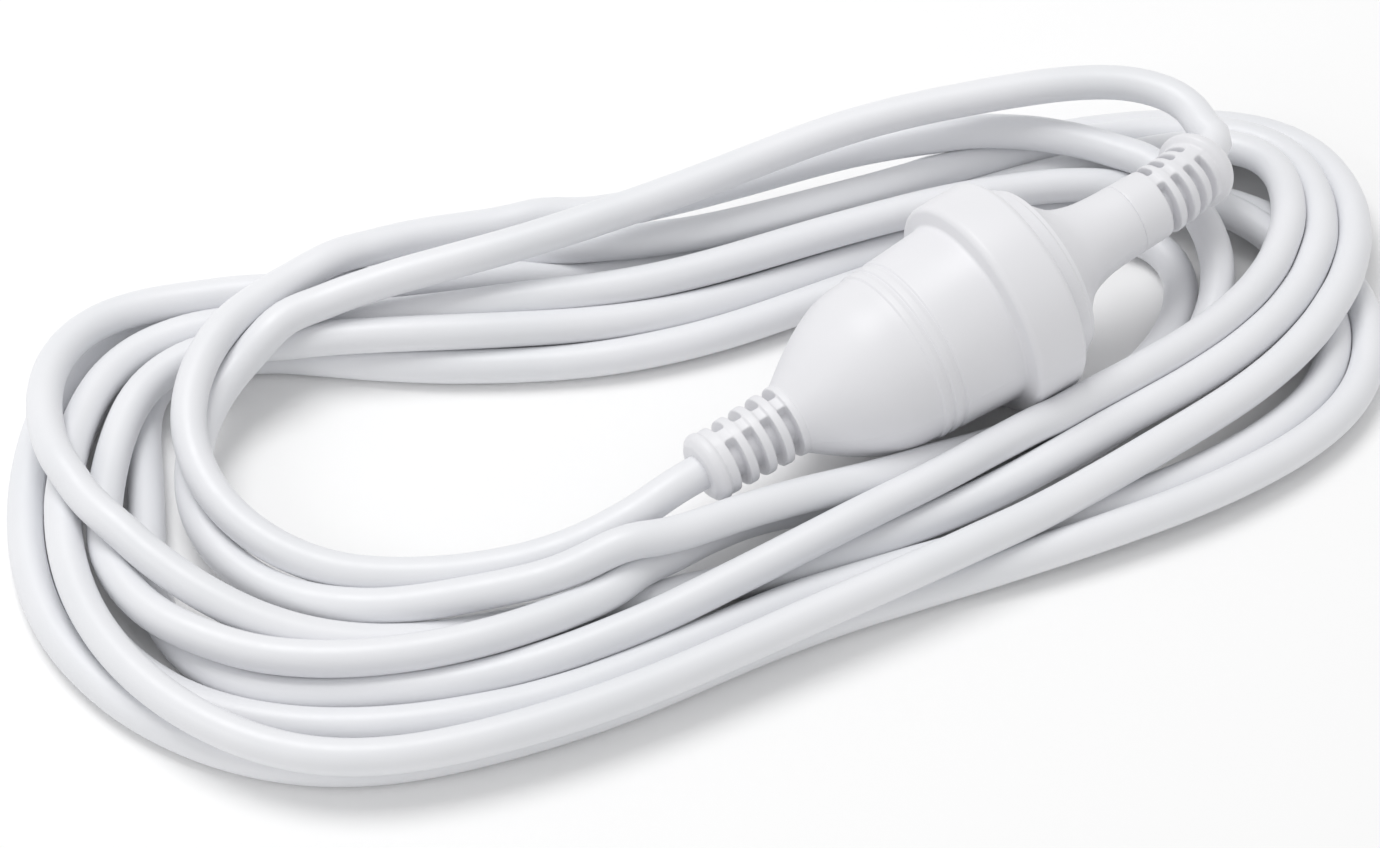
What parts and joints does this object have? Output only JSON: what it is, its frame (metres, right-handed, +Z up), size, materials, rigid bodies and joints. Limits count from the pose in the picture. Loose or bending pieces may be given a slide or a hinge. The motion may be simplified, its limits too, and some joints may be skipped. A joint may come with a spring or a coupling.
{
  "type": "extension cord",
  "caption": "Wound household extension cord: a flanged plug rests in its own cable socket, whose collar shrouds the pins; slotted boots relieve the cord at both ends.",
  "frame": {"origin": "on the surface that the lead lies on, under the middle of the plug and socket", "axes": "+X along the wound cord and, within 15 degrees, from the socket to the plug; +Z up"},
  "size_m": [0.287, 0.139, 0.0472],
  "materials": {
    "grip_pvc": "satin moulded PVC, white",
    "cord_pvc": "satin extruded PVC sheath, white",
    "insert_plastic": "smooth rigid plastic, white",
    "carrier_plastic": "rigid plastic, off-white",
    "contact_bronze": "bright pressed bronze strip",
    "pin_brass": "polished solid brass",
    "sleeve_plastic": "moulded insulation, black",
    "bare_copper": "bare stranded copper",
    "core_brown": "PVC core insulation, brown",
    "core_blue": "PVC core insulation, light blue",
    "core_green_yellow": "PVC core insulation, green and yellow"
  },
  "bodies": {
    "socket_end": {"socket_body": "grip_pvc", "socket_face": "insert_plastic", "contact_carrier": "carrier_plastic", "contact_active": "contact_bronze", "contact_neutral": "contact_bronze", "contact_earth": "contact_bronze", "socket_conductors": "bare_copper", "socket_core_active": "core_brown", "socket_core_neutral": "core_blue", "socket_core_earth": "core_green_yellow", "socket_strain_relief": "grip_pvc", "cord_socket_lead": "cord_pvc", "cord_coil": "cord_pvc", "cord_plug_lead": "cord_pvc"},
    "plug_end": {"plug_body": "grip_pvc", "plug_pin_bridge": "insert_plastic", "pin_active": "pin_brass", "pin_neutral": "pin_brass", "pin_earth": "pin_brass", "pin_sleeve_active": "sleeve_plastic", "pin_sleeve_neutral": "sleeve_plastic", "plug_conductors": "bare_copper", "plug_core_active": "core_brown", "plug_core_neutral": "core_blue", "plug_core_earth": "core_green_yellow", "plug_strain_relief": "grip_pvc", "cord_plug_tail": "cord_pvc"}
  },
  "joints": [
    {"name": "plug_withdrawal", "type": "slide", "parent": "socket_end", "child": "plug_end", "axis": [0.9641, 0.2457, 0.1011], "range_m": [0, 0.03], "deforming": ["cord_plug_lead"]}
  ]
}
